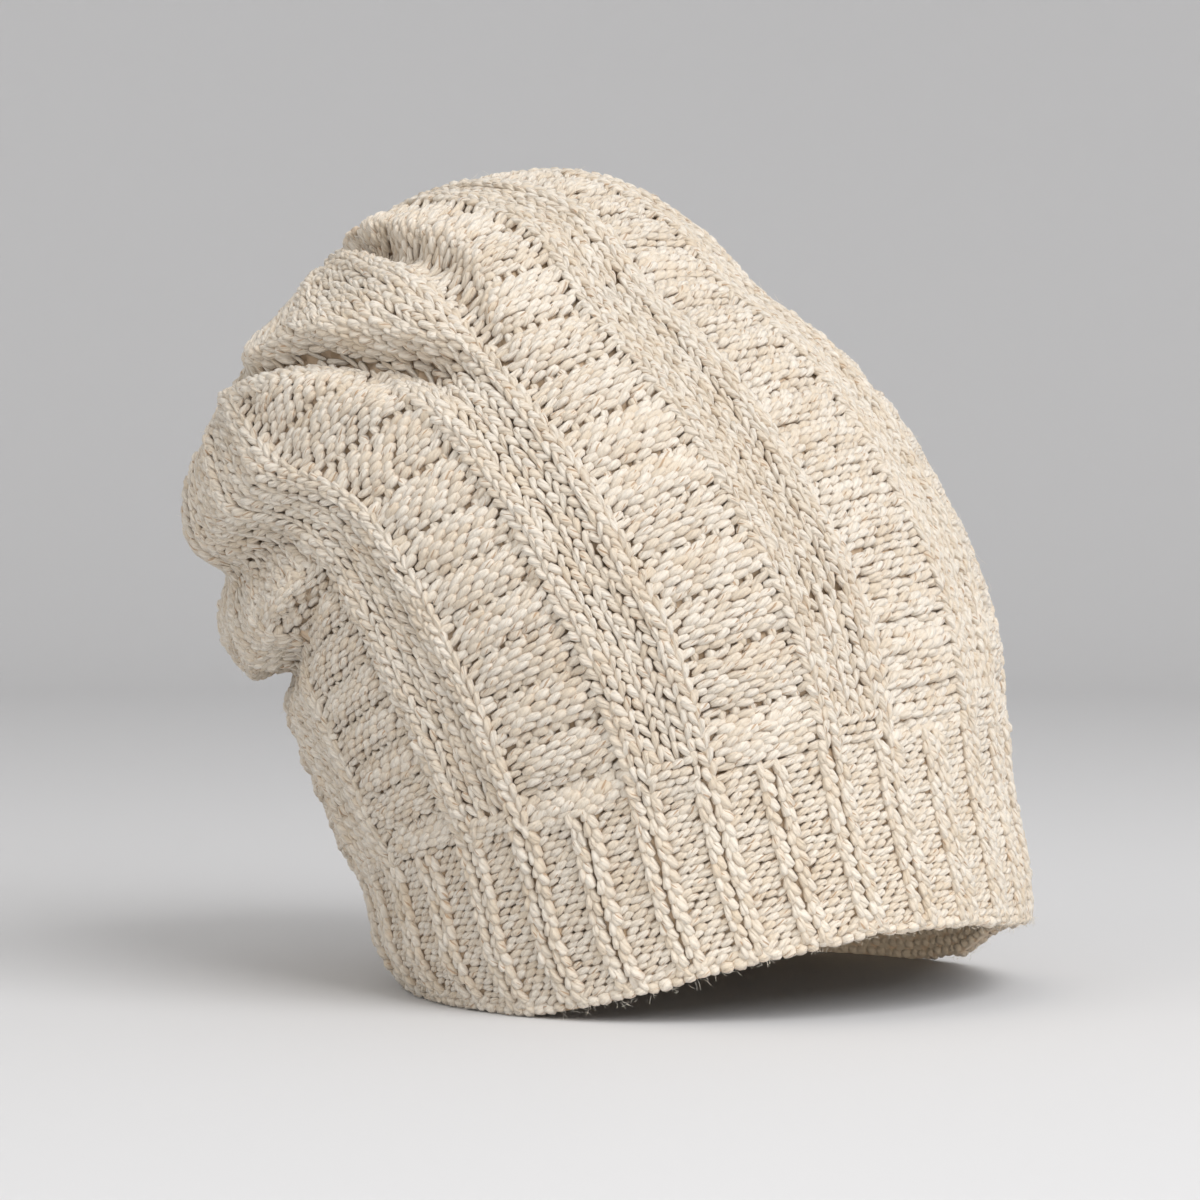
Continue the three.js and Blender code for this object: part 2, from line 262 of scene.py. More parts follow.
def fold_place(fold, wale, row):
    """How far a stitch lies along and across a fold's line, in stitches."""
    run = np.array([wrap(fold["to_wale"] - fold["wale"]), fold["to_row"] - fold["row"]])
    length = np.hypot(*run)
    east, north = run / length
    offset_wale, offset_row = wrap(wale - fold["wale"]), row - fold["row"]
    on_line = offset_wale * east + offset_row * north
    t = np.clip(on_line / length, 0, 1)
    across = offset_row * east - offset_wale * north - 4 * fold["bow"] * t * (1 - t)
    past = np.maximum(np.maximum(-on_line, on_line - length), 0)
    return t, across, bell(past, FOLD_FADE), (-north, east)


def folded(wale, row, overhang=True):
    """The folded reference surface: the tops of the ribs and cords."""
    wale, row = np.broadcast_arrays(np.asarray(wale, float), np.asarray(row, float))
    sideways = np.zeros(wale.shape)
    for drift in DRIFTS:
        near = bell(wrap(wale - drift["wale"]), drift["wales"])
        sideways += drift["shift"] * near * bell((row - drift["row"]) ** 2, drift["rows"] ** 2)
    upwards = np.zeros(wale.shape)
    height = np.zeros(wale.shape)
    for fold in FOLDS:
        t, across, strength, aside = fold_place(fold, wale + sideways, row)
        depth = fold["depth"] + (fold["to_depth"] - fold["depth"]) * t
        on_roll = bell(across - ROLL_OFF * fold["width"], ROLL_WIDTH * fold["width"]) * strength
        on_sill = bell(across + SILL_OFF * fold["width"], SILL_WIDTH * fold["width"]) * strength
        height += fold["roll"] * on_roll + fold["sill"] * on_sill
        height -= depth * bell(across, fold["width"]) * strength
        if overhang:
            sideways = sideways - fold["over"] * on_roll * aside[0]
            upwards = upwards - fold["over"] * on_roll * aside[1]
    fade = smoothstep(TOP_ROW - row, 0, TOP_FADE)
    place = wale + sideways * fade, np.clip(row + upwards * fade, 0, TOP_ROW)
    return unfolded(*place) + normal_of(unfolded, *place) * (height * fade)[..., None]


def inner_form(wale, row):
    return folded(wale, row, overhang=False)


def offset_point(form, wale, row, offset):
    """A point off the form along its normal; the cast-on edge stays level where it rests."""
    normal = normal_of(form, wale, row)
    normal[..., 2] = np.where(row < 0.01, 0, normal[..., 2])
    normal /= np.linalg.norm(normal, axis=-1, keepdims=True)
    return form(wale, row) + normal * np.asarray(offset)[..., None]


def plain_share(wale, row):
    """1 where a panel is knitted plain and 0 where it has welts."""
    above = row - np.interp(wrap(wale), PLAIN_FROM["wale"], PLAIN_FROM["row"])
    return smoothstep(above, -PLAIN_BLEND, PLAIN_BLEND)


def from_band(wale):
    return np.abs(wale - REPEAT_WALES * np.round(wale / REPEAT_WALES))


def knit_share(wale, row):
    """1 on the bands and the plain panels of the crown."""
    on_band = 1 - smoothstep(from_band(wale), *KNIT_EDGE)
    return np.maximum(plain_share(wale, row), on_band * smoothstep(row - BRIM_ROWS, 0, KNIT_START))


def brim_relief(wale):
    """Two rounded knit columns side by side on each rib, and a purl valley sunk between the ribs."""
    from_rib = np.abs(np.mod(wale, RIB_WALES) - RIB_WALES / 2)
    from_column = np.minimum(np.abs(from_rib / (RIB_COLUMN / 2) - 1), 1)
    return -RIB_DIP * from_column ** 2 - (RIB_HEIGHT - RIB_DIP) * smoothstep(from_rib, *RIB_EDGE)


def crown_relief(wale, row):
    """Bands with a cord along each edge, and welted panels between them."""
    distance = from_band(wale)
    cord = (distance - CORD_FROM) / CORD_HALF
    hollow = BAND_HOLLOW * smoothstep(row - BRIM_ROWS, *HOLLOW_START)
    band = np.where(distance < CORD_FROM, -hollow * (1 - smoothstep(distance, *HOLLOW_EDGE)), 0)
    band = band - CORD_DIP * np.clip(cord, 0, 1.2) ** 2
    panel = np.floor(np.mod(wale, WALES) / REPEAT_WALES).astype(int) % PANELS
    turn = (row - FIRST_VALLEY - WELTS["shift"][panel]) / WELT_ROWS
    close_turn = np.interp(row, CLOSE_GROOVES, np.arange(len(CLOSE_GROOVES)))
    turn = np.where(WELTS["knobs"][panel] > 0, turn, close_turn)
    welt = np.abs(np.sin(math.pi * turn)) ** WELT_ROUNDNESS
    beside_band = distance - BAND_HALF_WALES
    welt *= WELT_END + (1 - WELT_END) * smoothstep(beside_band, 0, WELT_END_WALES)
    plain = plain_share(wale, row)
    between = (WELT_HEIGHT * welt - GROOVE) * (1 - plain) - PLAIN_DEPTH * plain
    to_panel = smoothstep(beside_band, *PANEL_EDGE)
    return band * (1 - to_panel) + between * to_panel


def relief(wale, row):
    into_crown = smoothstep(row - BRIM_ROWS, -CROWN_BLEND, CROWN_BLEND)
    fabric = brim_relief(wale) * (1 - into_crown) + crown_relief(wale, row) * into_crown
    into_edge = 1 - smoothstep(row, *EDGE_ROWS)
    return fabric * (1 - into_edge) - EDGE_DEPTH * into_edge


def surface(wale, row):
    """The form with its ribs, cords and welts: where the tops of the stitches lie."""
    row = np.clip(row, 0, TOP_ROW)
    return offset_point(folded, wale, row, relief(wale, row))


def valley_floor(wale, row):
    """The bottom of the brim's valleys, level from rib to rib."""
    row = np.clip(row, 0, TOP_ROW)
    return offset_point(folded, wale, row, relief(RIB_WALES * np.round(wale / RIB_WALES), row))


# Stitches
# Each visible bit of yarn between two crossings is one plump grain. A set of grains is a table of
# equal arrays: where it lies (wale, row), half its run in stitches (run_wale, run_row), its half
# width and half thickness, how far its middle lies over the fabric's surface (lift), how much its
# far end rises (pitch), how much its ends dip (bow), how far it bends sideways (curl) and how much
# plumper its far end is (taper).
GRAIN_COLUMNS = "wale row run_wale run_row width thickness lift pitch bow curl taper".split()
RING_SIDES = 6
RING_ANGLES = np.radians([0, 50, 90, 130, 180, 270])
STATIONS = np.array([-1, -0.66, 0, 0.66, 1])
PLUMPNESS = np.array([0, 0.85, 1, 0.85, 0])

random = np.random.default_rng(SEED)


def grains(**columns):
    """A set of grains; a column that isn't given is 0, and single values are repeated."""
    filled = [np.asarray(columns.get(name, 0.0), float) for name in GRAIN_COLUMNS]
    return dict(zip(GRAIN_COLUMNS, [np.ravel(a).copy() for a in np.broadcast_arrays(*filled)]))


def joined(*sets):
    return {name: np.concatenate([s[name] for s in sets]) for name in GRAIN_COLUMNS}


def chosen(stitches, keep):
    return {name: values[keep] for name, values in stitches.items()}


def unevenness(stitches, place=0.05, size=0.09, turn=0.11, lift=0.12):
    """Hand-knitted stitches aren't alike: small seeded changes of place, size and slant."""
    count = len(stitches["wale"])
    scatter = lambda spread: random.normal(0, spread, count).clip(-2 * spread, 2 * spread)
    out = dict(stitches)
    out["wale"] = out["wale"] + scatter(place)
    out["row"] = out["row"] + scatter(place)
    longer = 1 + scatter(size)
    slant = scatter(turn)
    out["run_wale"] = (stitches["run_wale"] + slant * stitches["run_row"]) * longer
    out["run_row"] = (stitches["run_row"] - slant * stitches["run_wale"]) * longer
    out["width"] = out["width"] * (1 + scatter(size))
    out["thickness"] = out["thickness"] * (1 + scatter(size))
    out["lift"] = out["lift"] + scatter(lift)
    return out


def grain_faces():
    """Faces of one grain and the place (along, round) of each of their corners on the yarn."""
    faces, corners = [], []
    last = len(STATIONS) - 1
    ring = lambda station, side: 1 + (station - 1) * RING_SIDES + side % RING_SIDES
    far_pole = 1 + (last - 1) * RING_SIDES
    spread = [(a - RING_ANGLES[0]) / (2 * math.pi) for a in RING_ANGLES] + [1.0]
    for side in range(RING_SIDES):
        left, right = spread[side], spread[side + 1]
        faces.append((0, ring(1, side + 1), ring(1, side)))
        corners.append([(STATIONS[0], (left + right) / 2), (STATIONS[1], right), (STATIONS[1], left)])
        for station in range(1, last - 1):
            faces.append((ring(station, side), ring(station, side + 1),
                          ring(station + 1, side + 1), ring(station + 1, side)))
            near, far = STATIONS[station], STATIONS[station + 1]
            corners.append([(near, left), (near, right), (far, right), (far, left)])
        faces.append((ring(last - 1, side), ring(last - 1, side + 1), far_pole))
        corners.append([(STATIONS[-2], left), (STATIONS[-2], right), (STATIONS[-1], (left + right) / 2)])
    return faces, corners


def unit(vectors):
    return vectors / (np.linalg.norm(vectors, axis=-1, keepdims=True) + 1e-12)


def grain_points(stitches, shell=surface, outward=1):
    """Corners of every grain in millimetres, one row of points per grain."""
    wale, row = stitches["wale"], stitches["row"]
    ends = [shell(wale + t * stitches["run_wale"], row + t * stitches["run_row"]) for t in (-1, 0, 1)]
    step = 0.35
    across = shell(wale + step, row) - shell(wale - step, row)
    up = shell(wale, row + step) - shell(wale, row - step)
    normal = unit(np.cross(across, up)) * outward
    heading = unit(ends[2] - ends[0])
    side = unit(np.cross(normal, heading))
    points = []
    for t, size in zip(STATIONS, PLUMPNESS):
        centre = (ends[0] * (t * t - t) / 2 + ends[1] * (1 - t * t) + ends[2] * (t * t + t) / 2)
        rise = stitches["lift"] + stitches["pitch"] * t - stitches["bow"] * t * t
        centre = centre + normal * rise[:, None] + side * (stitches["curl"] * (1 - t * t))[:, None]
        if size == 0:
            points.append(centre)
            continue
        sizes = size * (1 + stitches["taper"] * t)
        for angle in RING_ANGLES:
            points.append(centre + side * (math.cos(angle) * sizes * stitches["width"])[:, None]
                          + normal * (math.sin(angle) * sizes * stitches["thickness"])[:, None])
    return np.stack(points, 1)


def depth_of_points():
    """0 on top of a grain, 1 underneath, where the warm shade in the gaps is painted on."""
    heights = [0.5 - 0.5 * math.sin(angle) for angle in RING_ANGLES]
    return np.array([0.75] + heights * (len(STATIONS) - 2) + [0.75])


def yarn_mesh(name, stitches, shell=surface, outward=1, floor=0.15):
    """One mesh of all the grains of a set, with its place along the yarn as UV map."""
    points = grain_points(stitches, shell, outward)
    points[..., 2] = np.maximum(points[..., 2], floor)
    points[..., 0] -= BODY_CENTRE[0]
    points[..., 1] -= BODY_CENTRE[1]
    count, size = points.shape[:2]
    faces, corners = grain_faces()
    loops = np.array([v for face in faces for v in face])
    totals = np.array([len(face) for face in faces])
    places = np.array([c for corner in corners for c in corner])
    first = np.arange(count)[:, None] * size
    mesh = bpy.data.meshes.new(name)
    mesh.vertices.add(count * size)
    mesh.vertices.foreach_set("co", (points * MM).astype(np.float32).ravel())
    mesh.loops.add(count * len(loops))
    mesh.loops.foreach_set("vertex_index", (first + loops).astype(np.int32).ravel())
    mesh.polygons.add(count * len(faces))
    all_totals = np.tile(totals, count)
    starts = np.concatenate([[0], np.cumsum(all_totals)[:-1]])
    mesh.polygons.foreach_set("loop_start", starts.astype(np.int32))
    mesh.polygons.foreach_set("use_smooth", np.ones(len(all_totals), bool))
    mesh.update(calc_edges=True)
    along_yarn = mesh.uv_layers.new(name="yarn")
    half_length = np.linalg.norm(points[:, -1] - points[:, 0], axis=-1) / 2
    start = random.uniform(0, 400, count)
    u = start[:, None] + places[None, :, 0] * half_length[:, None]
    v = np.broadcast_to(places[None, :, 1], u.shape)
    along_yarn.data.foreach_set("uv", np.stack([u, v], -1).astype(np.float32).ravel())
    tone = mesh.attributes.new("tone", "FLOAT", "POINT")
    tone.data.foreach_set("value", np.repeat(random.uniform(0, 1, count), size).astype(np.float32))
    depth = mesh.attributes.new("depth", "FLOAT", "POINT")
    depth.data.foreach_set("value", np.tile(depth_of_points(), count).astype(np.float32))
    mesh.validate()
    return mesh


# Stitch patterns
# Stitches keep their size where the fabric is stretched or gathered by its folds, so their places
# are counted out along its surface. A strip is sampled at STRIP_SAMPLES places across and every
# ROW_STEP up. Its number of columns changes once the width is off by COUNT_SLACK columns.
STRIP_SAMPLES = 25
ROW_STEP = 0.1
SMOOTHED_STEPS = 31
COUNT_SLACK = 0.75
LENGTH_SLACK = 1.2


def lengths(points):
    """Length along lines of points up to each point; the lines run along the first axis."""
    steps = np.linalg.norm(np.diff(points, axis=0), axis=-1)
    return np.concatenate([np.zeros((1,) + steps.shape[1:]), np.cumsum(steps, axis=0)])


def even_rows(start, width, low, high, pitch):
    """Rows that part a strip into equal lengths of about `pitch`, from `low` to `high`."""
    fine = np.linspace(low, high, 12 * int(high - low) + 12)
    wales = start + width * np.linspace(0.1, 0.9, 5)
    steps = np.diff(lengths(folded(wales[None, :], fine[:, None])), axis=0)
    run = np.concatenate([[0], np.cumsum((steps.mean(axis=1) + steps.max(axis=1)) / 2)])
    count = max(1, round(run[-1] / pitch))
    return np.interp(np.arange(count + 1) / count * run[-1], run, fine)


def even_stitches(start, width, rows, row_spans, pitch):
    """Even columns of stitches across a strip, row by row, as one table."""
    fine = np.linspace(start, start + width, STRIP_SAMPLES)
    run = lengths(folded(fine[:, None], rows[None, :]))
    found, count = [], None
    for k in range(len(rows)):
        fitting = run[-1, k] / pitch
        if count is None or abs(fitting - count) > COUNT_SLACK:
            count = max(1, round(fitting))
        edges = np.interp(np.arange(count + 1) / count * run[-1, k], run[:, k], fine)
        column = np.full(count, run[-1, k] / count)
        middle, span = (edges[1:] + edges[:-1]) / 2, np.diff(edges)
        row, row_span, line = (np.full(count, value) for value in (rows[k], row_spans[k], k))
        found.append(np.stack([middle, row, span, row_span, column, line], -1))
    columns = np.concatenate(found).T
    return dict(zip("wale row span row_span column line".split(), columns))


def row_length(wale, row):
    """Millimetres up one row."""
    return np.linalg.norm(folded(wale, row + 0.5) - folded(wale, row - 0.5), axis=-1)


def wale_length(wale, row):
    """Millimetres across one wale."""
    return np.linalg.norm(folded(wale + 0.5, row) - folded(wale - 0.5, row), axis=-1)


MOST_SHEAR = 1.3
SHEAR_FADE = (4, 8)


def shear(wale, row):
    """Rows climbed by one wale across that is square to the columns, and the width it leaves them."""
    across = folded(wale + 0.5, row) - folded(wale - 0.5, row)
    up = folded(wale, row + 0.5) - folded(wale, row - 0.5)
    slope = np.sum(across * up, axis=-1) / np.sum(up * up, axis=-1)
    slope = np.clip(slope, -MOST_SHEAR, MOST_SHEAR) * smoothstep(TOP_ROW - row, *SHEAR_FADE)
    square = across - slope[..., None] * up
    return slope, np.linalg.norm(square, axis=-1) / np.linalg.norm(across, axis=-1)


# The two legs of a knit stitch: place and run in shares of its column, shift and rise in shares of
# its row. On the bands they part upwards, on the brim's ribs they meet at the top.
LEG_COLUMNS = "place shift run rise width thickness curl"
BAND_LEGS = table(LEG_COLUMNS, [
    (-0.23, -0.12, -0.27, 0.74, 1.22, 1.65, 0.16),
    (0.20, 0.12, 0.17, 0.78, 1.02, 1.55, -0.10),
])
RIB_LEGS = table(LEG_COLUMNS, [
    (-0.26, 0.25, 0.04, 0.74, 1.28, 1.60, -0.16),
    (0.18, -0.25, -0.17, 0.74, 1.42, 1.70, 0.20),
])
KNIT_LIFT = -1.1
KNIT_PITCH = 0.36
KNIT_BOW = 0.5
KNIT_TAPER = 0.22
KNIT_SIZES = (0.6, 1.15)


def knit(legs, wale, row, span, row_span, column, lean=1):
    """Knit stitches, plumper at one end and tucked under at the other."""
    slope, square = shear(wale, row)
    size = np.clip(column * square / KNIT_COLUMN, *KNIT_SIZES)
    sets = []
    for k in range(2):
        place, run = legs["place"][k] * span, legs["run"][k] * span
        sets.append(grains(
            wale=wale + place,
            row=row + legs["shift"][k] * row_span - place * slope,
            run_wale=run,
            run_row=legs["rise"][k] * row_span - run * slope,
            width=legs["width"][k] * size, thickness=legs["thickness"][k] * size,
            lift=KNIT_LIFT, pitch=KNIT_PITCH * lean, bow=KNIT_BOW,
            curl=legs["curl"][k], taper=KNIT_TAPER * lean))
    return joined(*sets)


def column_counts(fitting):
    """Whole numbers of columns that follow a changing width without jumping to and fro."""
    window = np.ones(SMOOTHED_STEPS) / SMOOTHED_STEPS
    smooth = np.convolve(np.pad(fitting, SMOOTHED_STEPS // 2, "edge"), window, "valid")
    counts = [max(1, round(smooth[0]))]
    for value in smooth[1:]:
        near = abs(value - counts[-1]) < COUNT_SLACK
        counts.append(counts[-1] if near else max(1, round(value)))
    return np.array(counts)


def knit_strip(start, width, low, high, column_pitch, row_pitch):
    """Columns of knit stitches up a strip, each stitch as long as the next."""
    rows = np.arange(low, high, ROW_STEP)
    fine = np.linspace(start, start + width, STRIP_SAMPLES)
    run = lengths(folded(fine[:, None], rows[None, :]))
    square = shear(np.full(len(rows), start + width / 2), rows)[1]
    counts = column_counts(run[-1] * square / column_pitch)
    bounds = [0, *(np.flatnonzero(np.diff(counts)) + 1), len(rows) - 1]
    found = []
    for first, last in zip(bounds[:-1], bounds[1:]):
        count = counts[first]
        part = rows[first:last + 1]
        shares = np.arange(2 * count + 1) / (2 * count)
        steps = range(first, last + 1)
        places = np.array([np.interp(shares * run[-1, k], run[:, k], fine) for k in steps])
        length = lengths(folded(places[:, 1::2], part[:, None]))
        usual = length[-1].mean() / row_pitch
        for column in range(count):
            own = length[-1, column] / row_pitch
            number = max(1, round(own if abs(own - usual) > LENGTH_SLACK else usual))
            cuts = np.interp(np.arange(number + 1) / number * length[-1, column], length[:, column], part)
            row = (cuts[1:] + cuts[:-1]) / 2
            middle = np.interp(row, part, places[:, 2 * column + 1])
            span = np.interp(row, part, places[:, 2 * column + 2] - places[:, 2 * column])
            found.append(np.stack([middle, row, span, np.diff(cuts)], -1))
    wale, row, span, row_span = np.concatenate(found).T
    return knit(BAND_LEGS, wale, row, span, row_span, span * wale_length(wale, row))


BUMP_COLUMNS = "kind run_wale run_row width thickness lift pitch bow curl taper"
BUMPS = {bump["kind"]: bump for bump in records(BUMP_COLUMNS, [
    ("leaf", 0.72, 0.22, 1.28, 1.4, -0.9, 0.35, 0.3, 0.14, 0.08),
    ("knob", 0.1, 0.95, 1.45, 1.4, -0.8, 0, 0.1, 0, 0.08),
    ("foot", 0.62, 0.14, 1.35, 1.4, -0.7, 0.15, 0.35, 0, 0),
    ("valley", 0.72, 0.4, 1.18, 1.3, 0.1, 0.25, 0.25, 0.1, 0),
    ("lower_edge", 0.62, -0.08, 1.75, 1.9, -1.2, 0.25, 0.3, 0, 0),
    ("upper_edge", 0.58, 0.14, 1.45, 1.5, -1.1, 0.2, 0.35, 0, 0),
    ("inner", 0.55, 0.16, 1.5, 1.75, -0.6, 0, 0.3, 0, 0),
])}


def bumps(kind, wale, row, span=1, row_span=1):
    """Purl bumps of one kind, their run counted in shares of the spans of a column and a row."""
    shape = {name: BUMPS[kind][name] for name in GRAIN_COLUMNS if name in BUMPS[kind]}
    shape["run_wale"] = shape["run_wale"] * span
    shape["run_row"] = shape["run_row"] * row_span
    return grains(wale=wale, row=row, **shape)


def staggered(rows, shift):
    """Sideways shifts, to and fro from line to line."""
    return np.where(np.arange(len(rows)) % 2, shift, -shift)[:, None]


FOOT_COLUMNS = np.array([-1.25, -0.4, 0.45, 1.3])
FOOT_LINES = np.array([-0.35, 0.2, 0.75, 1.3])
FOOT_HALF_WALES = 1.5
FOOT_ROWS = 1.3
BAND_ENDS = 0.2


def band_stitches(panel):
    """The cords and the hollow between them, up to the top, with purl bumps at the hollow's foot."""
    middle = panel * REPEAT_WALES
    stitches = knit_strip(middle - BAND_HALF_WALES, 2 * BAND_HALF_WALES,
                          BRIM_ROWS - BAND_ENDS, TOP_ROW - BAND_ENDS, KNIT_COLUMN, KNIT_ROW)
    foot = (from_band(stitches["wale"]) < FOOT_HALF_WALES) & (stitches["row"] < BRIM_ROWS + FOOT_ROWS)
    wales, rows = np.meshgrid(middle + FOOT_COLUMNS, BRIM_ROWS + FOOT_LINES)
    return joined(chosen(stitches, ~foot), bumps("foot", wales + staggered(rows, 0.2), rows))


TUCK = 0.25
VALLEY_SHARE = 0.09
GROOVES_BELOW = 2
GROOVES = 20
LEAF_STAGGER = 0.25
LEAF_SIZES = (0.6, 1.1)
LEAF_FATNESS = (0.85, 1.6)


def groove_rows(panel):
    """The rows of a panel's grooves from below its foot to the top."""
    if WELTS["knobs"][panel]:
        turns = np.arange(GROOVES) - GROOVES_BELOW
        rows = FIRST_VALLEY + WELTS["shift"][panel] + WELT_ROWS * turns
    else:
        rows = CLOSE_GROOVES
    return np.append(rows[rows < TOP_ROW - 1], TOP_ROW - 0.3)


def welt_lines(panel, start, width):
    """Rows of a panel's lines of stitches, their spans, and which of them are knobs in a groove."""
    has_knobs = WELTS["knobs"][panel] > 0
    pitch = WELT_LINE if has_knobs else CLOSE_LINE
    grooves = groove_rows(panel)
    lines = []
    for valley, top in zip(grooves[:-1], grooves[1:]):
        inset = VALLEY_SHARE * (top - valley)
        edges = even_rows(start, width, max(valley + inset, 0), top - inset, pitch)
        if has_knobs:
            lines.append((valley, inset, True))
        lines.extend((row, edges[1] - edges[0], False) for row in edges)
    rows, row_spans, is_knob = [np.array(column) for column in zip(*lines)]
    kept = (rows > BRIM_ROWS - 0.4) & (rows < TOP_ROW - 0.6)
    return rows[kept], row_spans[kept], is_knob[kept]


def welt_stitches(panel):
    """Lines of slanted leaf-like bumps, with a line of upright knobs in each groove between welts."""
    start = panel * REPEAT_WALES + BAND_HALF_WALES - TUCK
    width = REPEAT_WALES - 2 * (BAND_HALF_WALES - TUCK)
    rows, row_spans, is_knob = welt_lines(panel, start, width)
    places = even_stitches(start, width, rows, row_spans, WELT_LEAF)
    knob = is_knob[places["line"].astype(int)]
    shape = {name: np.where(knob, BUMPS["knob"][name], BUMPS["leaf"][name])
             for name in GRAIN_COLUMNS if name in BUMPS["leaf"]}
    size = np.clip(places["column"] / WELT_LEAF, *LEAF_SIZES)
    line = places["row_span"] * row_length(places["wale"], places["row"])
    fat = size * np.where(knob, 1, np.clip(line / WELT_LINE, *LEAF_FATNESS))
    shape["run_wale"] = shape["run_wale"] * places["span"]
    shape["run_row"] = shape["run_row"] * places["row_span"]
    shape["width"] = shape["width"] * fat
    shape["thickness"] = shape["thickness"] * size
    stagger = np.where(places["line"] % 2, LEAF_STAGGER, -LEAF_STAGGER) * places["span"]
    return grains(wale=places["wale"] + stagger, row=places["row"], **shape)


WELTED_BELOW = 0.75
PLAIN_ABOVE = 0.25


def panel_stitches(panel):
    start = panel * REPEAT_WALES + BAND_HALF_WALES
    welts = welt_stitches(panel)
    welts = chosen(welts, plain_share(welts["wale"], welts["row"]) < WELTED_BELOW)
    width = REPEAT_WALES - 2 * BAND_HALF_WALES
    plain = knit_strip(start, width, BRIM_ROWS, TOP_ROW - BAND_ENDS, PLAIN_COLUMN, PLAIN_ROW)
    return joined(welts, chosen(plain, plain_share(plain["wale"], plain["row"]) > PLAIN_ABOVE))


VALLEY_COLUMNS = np.array([-0.98, 0.0, 0.98])


def rib_stitches():
    """Two columns of knit stitches side by side up each rib."""
    sets = []
    for rib in range(0, WALES, RIB_WALES):
        edges = even_rows(rib + 1.5, 2, 0.4, BRIM_ROWS, RIB_ROW)
        columns = rib + RIB_WALES / 2 + RIB_COLUMN * np.array([-0.5, 0.5])
        wales, rows = np.meshgrid(columns, (edges[1:] + edges[:-1]) / 2)
        row_spans = np.broadcast_to(np.diff(edges)[:, None], rows.shape)
        sets.append(knit(RIB_LEGS, wales, rows, RIB_COLUMN, row_spans, KNIT_COLUMN, lean=-1))
    return joined(*sets)


def valley_stitches():
    """The purl stitches between the ribs: small stacked leaves, slanted up to the right."""
    sets = []
    for rib in range(0, WALES, RIB_WALES):
        edges = even_rows(rib + 3.5, 3, 0.7, BRIM_ROWS - 0.1, PURL_LINE)
        wales, rows = np.meshgrid(rib + RIB_WALES + VALLEY_COLUMNS, (edges[1:] + edges[:-1]) / 2)
        row_spans = np.broadcast_to(np.diff(edges)[:, None], rows.shape)
        sets.append(bumps("valley", wales + staggered(rows, 0.2), rows, row_span=row_spans))
    return joined(*sets)


def cast_on_stitches():
    """The cast-on edge: a rolled line of round bumps, two deep."""
    wales = np.arange(0, WALES, 1.0)
    return joined(bumps("lower_edge", wales, 0.3), bumps("upper_edge", wales + 0.5, 0.85))


def inside(wale, row):
    """The inner face of the brim."""
    row = np.clip(row, 0, TOP_ROW)
    return offset_point(inner_form, wale, row, np.full(np.shape(wale), INNER_STITCHES - WALL))


def inside_stitches():
    """Bumps of the brim's inner face near its edge, where one looks in under the arch."""
    wales, rows = np.meshgrid(np.arange(WALES), np.arange(0.5, 5.4, 0.8))
    return bumps("inner", wales + staggered(rows, 0.25), rows)


def beyond_edge(wale, row):
    """The surface, going on straight below the rim."""
    edge = surface(wale, np.zeros(np.shape(wale)))
    below = np.minimum(row, 0)[..., None] * (surface(wale, np.ones(np.shape(wale))) - edge)
    return surface(wale, row) + below


HAIR_HALF_WIDTH = 0.042
RIM_HAIR_SHARE = 0.65


def stray_fibres(count, rim_count):
    """Single hairs that stand off the yarn, more and shorter ones round the edge."""
    total = count + rim_count
    anywhere = TOP_ROW * random.uniform(0, 1, count) ** 0.8
    rows = np.concatenate([anywhere, random.uniform(-0.45, 0.4, rim_count)])
    turns = random.uniform(0, 2 * math.pi, total)
    reach = random.uniform(0.15, 0.7, total)
    reach[count:] *= RIM_HAIR_SHARE
    return grains(wale=random.uniform(0, WALES, total), row=rows, run_wale=reach * np.cos(turns),
                  run_row=reach * np.sin(turns), width=HAIR_HALF_WIDTH, thickness=HAIR_HALF_WIDTH,
                  lift=random.uniform(0.2, 1.2, total), pitch=random.uniform(-1.4, 1.4, total),
                  bow=random.uniform(-0.6, 0.8, total), curl=random.uniform(-0.7, 0.7, total))


# Materials

YARN_LIGHT = (0.835, 0.772, 0.675, 1)
YARN_DARK = (0.72, 0.61, 0.47, 1)
# Painted shade: a warm darker cream that the yarn and its inside are mixed towards on the grains'
# undersides, between the plies and in sunk places, where shade falls.
PAINTED_GAP_SHADE = (0.71, 0.52, 0.35, 1)
FIBRE_SHADE = (0.66, 0.54, 0.40, 1)
FLECK = (0.42, 0.25, 0.13, 1)
GAP_DARK = (0.42, 0.31, 0.205, 1)
BACKING_LIGHT = (0.68, 0.53, 0.38, 1)
HAIR = (0.92, 0.87, 0.79, 1)
FLOOR = (0.68, 0.68, 0.685, 1)

# The twist of the yarn: its plies, their turns a millimetre, and the fibres along and round it.
PLIES = 4
TWIST = 0.16
FIBRE_STRETCH = 0.22
FIBRES_ROUND = 9.0
FIBRE_SLANT = 0.5


